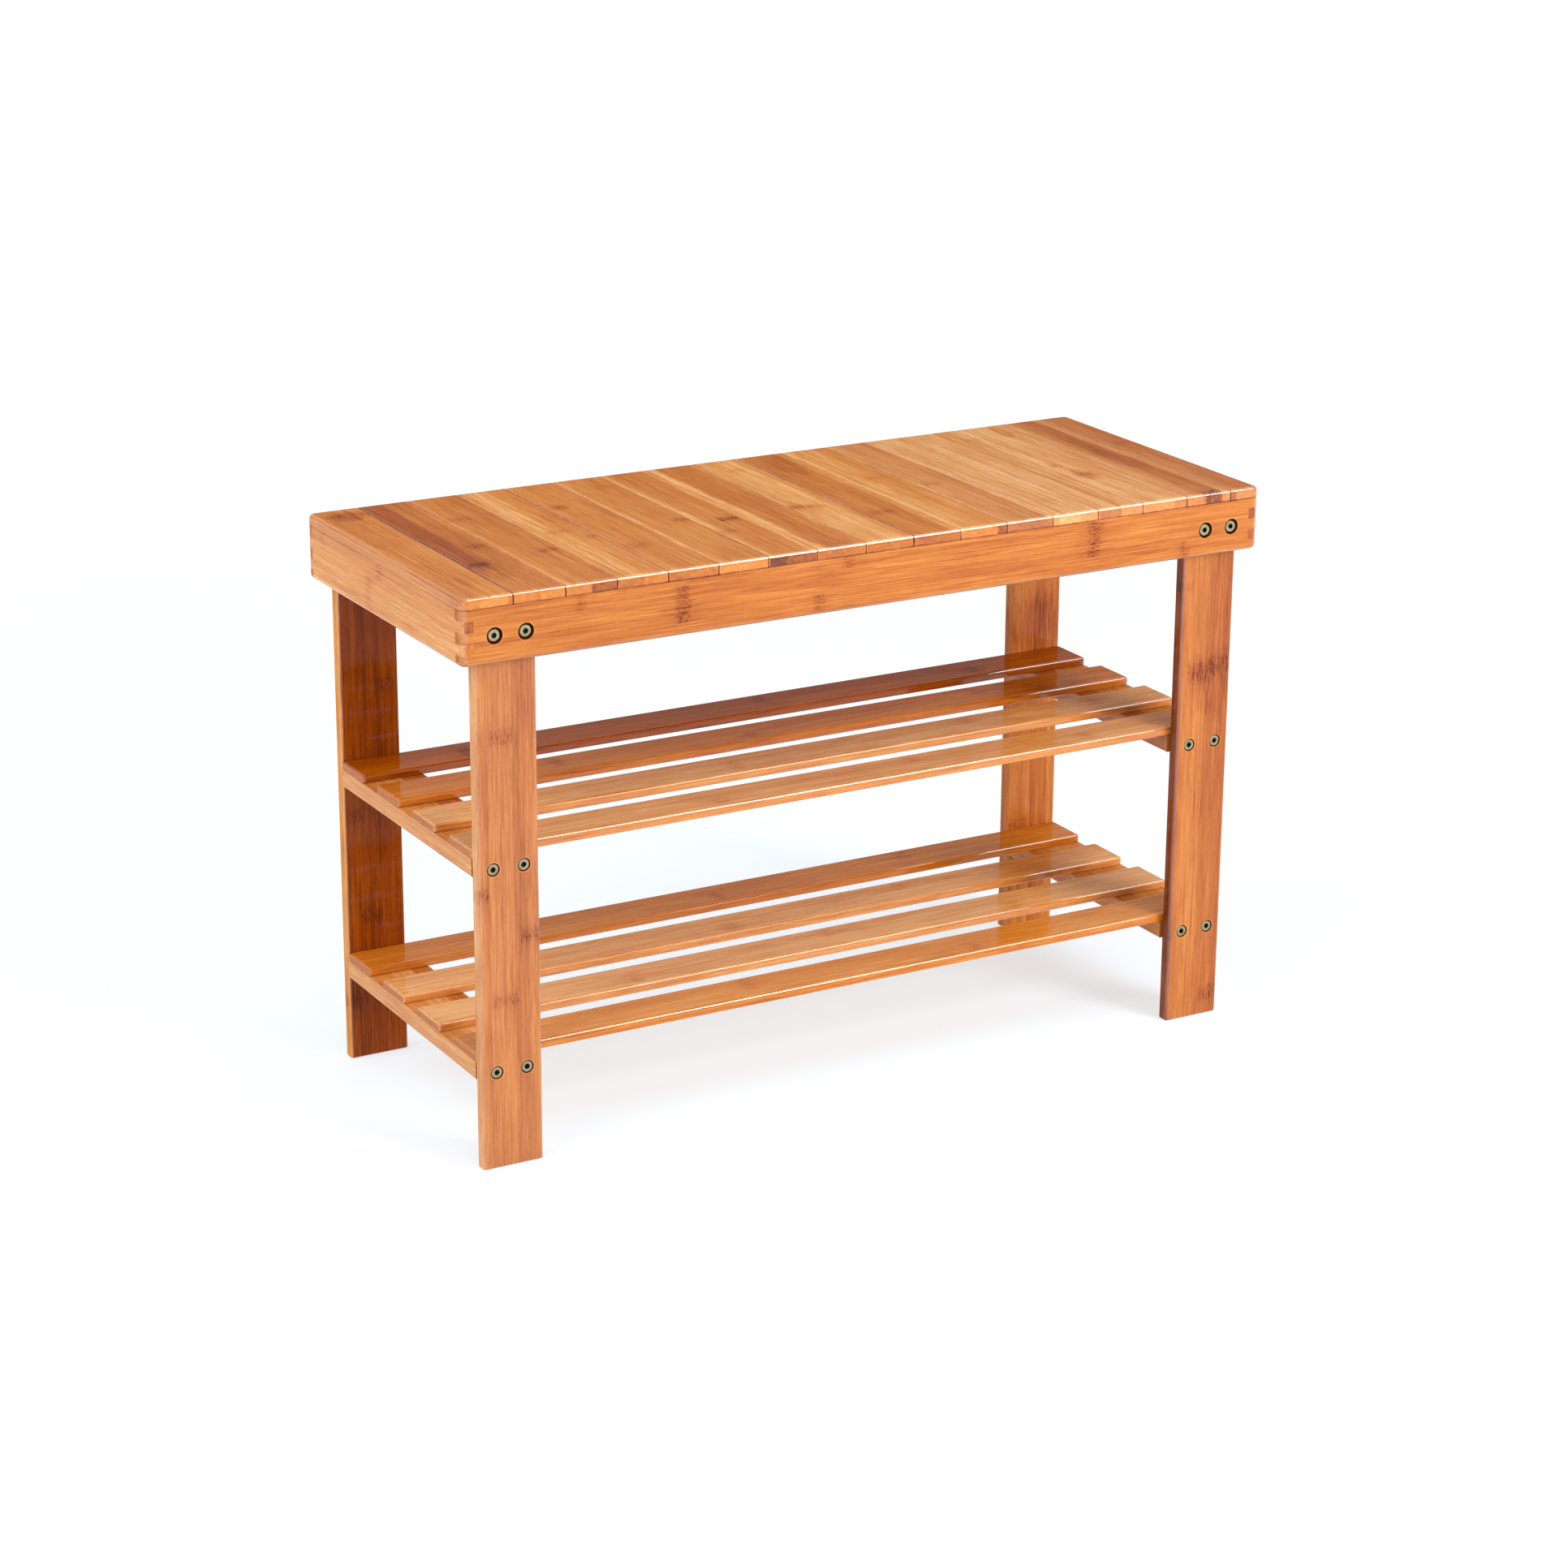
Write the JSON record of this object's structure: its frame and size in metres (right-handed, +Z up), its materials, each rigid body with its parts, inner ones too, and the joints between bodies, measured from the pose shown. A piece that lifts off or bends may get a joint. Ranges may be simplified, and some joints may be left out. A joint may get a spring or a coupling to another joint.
{
  "type": "entryway bench",
  "caption": "Bamboo entryway bench: slatted seat on a finger-jointed frame, four flat legs and two open slatted shoe shelves.",
  "frame": {"origin": "on the floor under the middle of the seat", "axes": "+X along the bench to the right as seen from the front, +Y from the front to the back, +Z up"},
  "size_m": [0.7, 0.28, 0.45],
  "materials": {
    "bamboo_seat": "gloss lacquered carbonised bamboo, grain across the seat",
    "bamboo_rail": "gloss lacquered carbonised bamboo, grain along the rail",
    "bamboo_leg": "gloss lacquered carbonised bamboo, grain along the leg",
    "bamboo_shelf": "gloss lacquered carbonised bamboo, grain along each board",
    "zinc_steel": "zinc plated, slightly yellow"
  },
  "bodies": {
    "root": {"seat_slat_01": "bamboo_seat", "seat_slat_02": "bamboo_seat", "seat_slat_03": "bamboo_seat", "seat_slat_04": "bamboo_seat", "seat_slat_05": "bamboo_seat", "seat_slat_06": "bamboo_seat", "seat_slat_07": "bamboo_seat", "seat_slat_08": "bamboo_seat", "seat_slat_09": "bamboo_seat", "seat_slat_10": "bamboo_seat", "seat_slat_11": "bamboo_seat", "seat_slat_12": "bamboo_seat", "seat_slat_13": "bamboo_seat", "seat_slat_14": "bamboo_seat", "seat_slat_15": "bamboo_seat", "seat_slat_16": "bamboo_seat", "seat_slat_17": "bamboo_seat", "seat_rail_front": "bamboo_rail", "seat_rail_back": "bamboo_rail", "seat_rail_left": "bamboo_rail", "seat_rail_right": "bamboo_rail", "leg_front_left": "bamboo_leg", "leg_front_right": "bamboo_leg", "leg_back_left": "bamboo_leg", "leg_back_right": "bamboo_leg", "upper_crosspiece_left": "bamboo_shelf", "upper_crosspiece_right": "bamboo_shelf", "upper_shelf_slat_1": "bamboo_shelf", "upper_shelf_slat_2": "bamboo_shelf", "upper_shelf_slat_3": "bamboo_shelf", "upper_shelf_slat_4": "bamboo_shelf", "lower_crosspiece_left": "bamboo_shelf", "lower_crosspiece_right": "bamboo_shelf", "lower_shelf_slat_1": "bamboo_shelf", "lower_shelf_slat_2": "bamboo_shelf", "lower_shelf_slat_3": "bamboo_shelf", "lower_shelf_slat_4": "bamboo_shelf", "seat_slat_dowels": "bamboo_rail", "seat_bolts": "zinc_steel", "upper_shelf_bolts": "zinc_steel", "lower_shelf_bolts": "zinc_steel", "leg_threaded_sleeves": "zinc_steel", "crosspiece_threaded_sleeves": "zinc_steel", "upper_shelf_screws": "zinc_steel", "lower_shelf_screws": "zinc_steel"}
  },
  "joints": []
}
